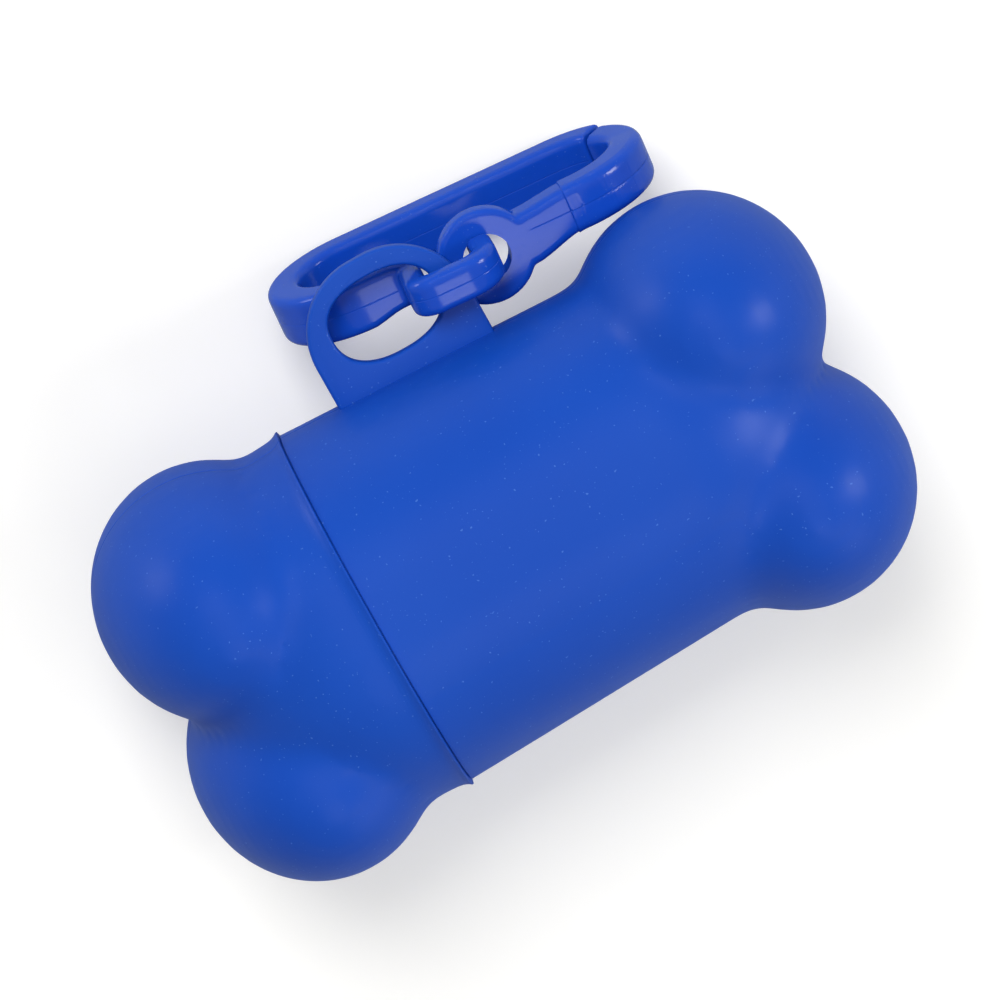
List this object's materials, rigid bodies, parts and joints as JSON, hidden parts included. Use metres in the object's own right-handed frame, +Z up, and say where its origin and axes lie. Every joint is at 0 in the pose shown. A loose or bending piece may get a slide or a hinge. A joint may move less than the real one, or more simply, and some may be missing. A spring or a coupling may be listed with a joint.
{
  "type": "dog poop bag dispenser",
  "caption": "Bone-shaped pet waste bag dispenser with pull-off end cap, bag roll on a core, dispensing slot, bail plate and snap clip.",
  "frame": {"origin": "middle of the part's footprint, on the face of the rim round the slot, which is what the part rests on", "axes": "+X along the bone away from the cap, +Y towards the bail plate, +Z up, away from the slot"},
  "size_m": [0.085, 0.0576, 0.0423],
  "materials": {
    "shell_plastic": "satin moulded blue plastic",
    "clip_plastic": "glossy moulded blue plastic",
    "bag_film": "rolled thin film",
    "core_card": "plain wound card"
  },
  "bodies": {
    "shell": {"body_shell": "shell_plastic"},
    "cap": {"end_cap": "shell_plastic"},
    "roll": {"bag_roll": "bag_film", "roll_core": "core_card"},
    "clip": {"clip_frame": "clip_plastic"},
    "gate": {"clip_gate": "clip_plastic"}
  },
  "joints": [
    {"name": "cap_pull", "type": "slide", "parent": "shell", "child": "cap", "axis": [-1, 0, 0], "range_m": [0, 0.04]},
    {"name": "roll_spin", "type": "hinge", "parent": "shell", "child": "roll", "pos_m": [0, -0.0051, 0.02067], "axis": [1, 0, 0], "continuous": true},
    {"name": "clip_swing", "type": "hinge", "parent": "shell", "child": "clip", "pos_m": [0.00822, 0.0222, 0.0214], "axis": [0, 1, 0], "range_deg": [-180, 2]},
    {"name": "gate_open", "type": "hinge", "parent": "clip", "child": "gate", "pos_m": [0.01278, 0.02142, 0.01891], "axis": [-0.012, -0.1525, 0.9882], "range_deg": [0, 80]}
  ]
}
